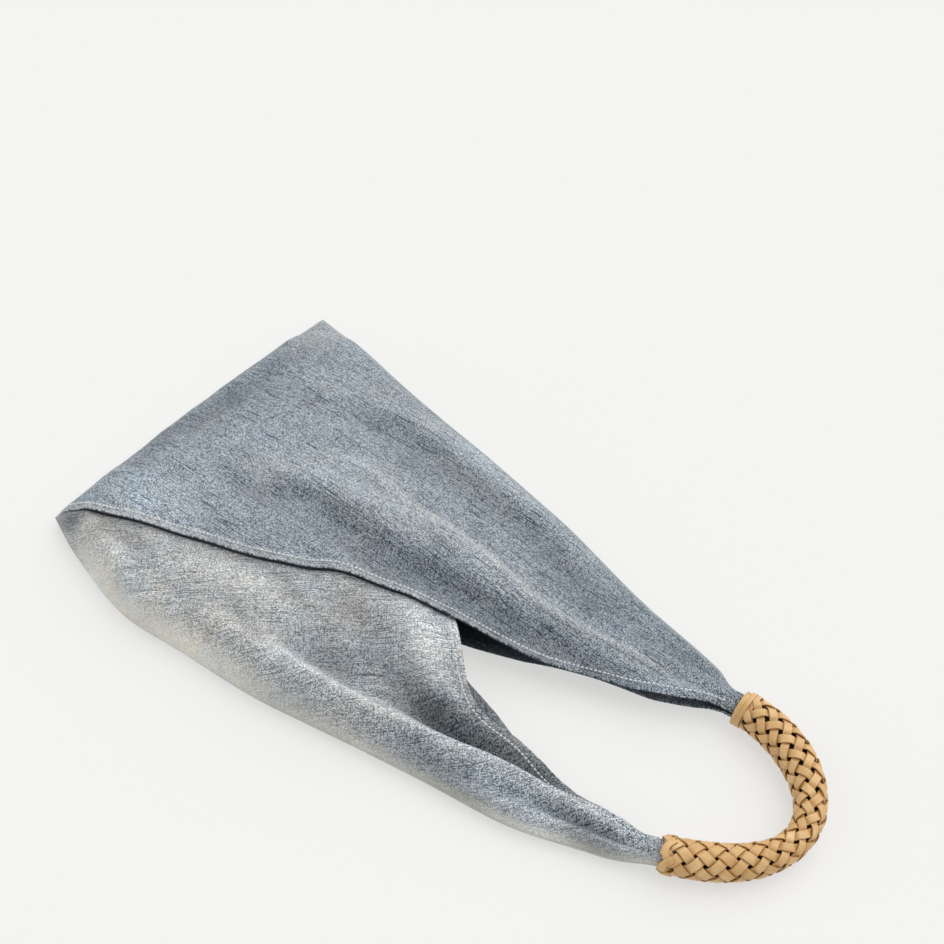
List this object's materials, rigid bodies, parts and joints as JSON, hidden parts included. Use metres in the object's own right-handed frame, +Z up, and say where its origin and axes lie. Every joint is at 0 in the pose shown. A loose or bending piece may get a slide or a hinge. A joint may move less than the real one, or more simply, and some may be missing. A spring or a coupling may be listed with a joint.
{
  "type": "shoulder bag",
  "caption": "Slouchy denim shoulder bag folded from one strip, with lapped seams, a V mouth and a curved braided leather handle, lying flat.",
  "frame": {"origin": "on the table, below the middle of the lying bag's box", "axes": "+X along the bag from its bottom edge to the handle, +Y across it, +Z up from the table"},
  "size_m": [0.6648, 0.3508, 0.0492],
  "materials": {
    "denim": "washed slub denim, matt",
    "lace_leather": "tan, satin, with darker edges",
    "filler": "dark, matt"
  },
  "bodies": {
    "root": {"bag_body": "denim", "handle_core": "filler", "strand_01": "lace_leather", "strand_02": "lace_leather", "strand_03": "lace_leather", "strand_04": "lace_leather", "strand_05": "lace_leather", "strand_06": "lace_leather", "strand_07": "lace_leather", "strand_08": "lace_leather", "strand_09": "lace_leather", "strand_10": "lace_leather", "strand_11": "lace_leather", "strand_12": "lace_leather", "binding_upper": "lace_leather", "binding_lower": "lace_leather"}
  },
  "joints": []
}
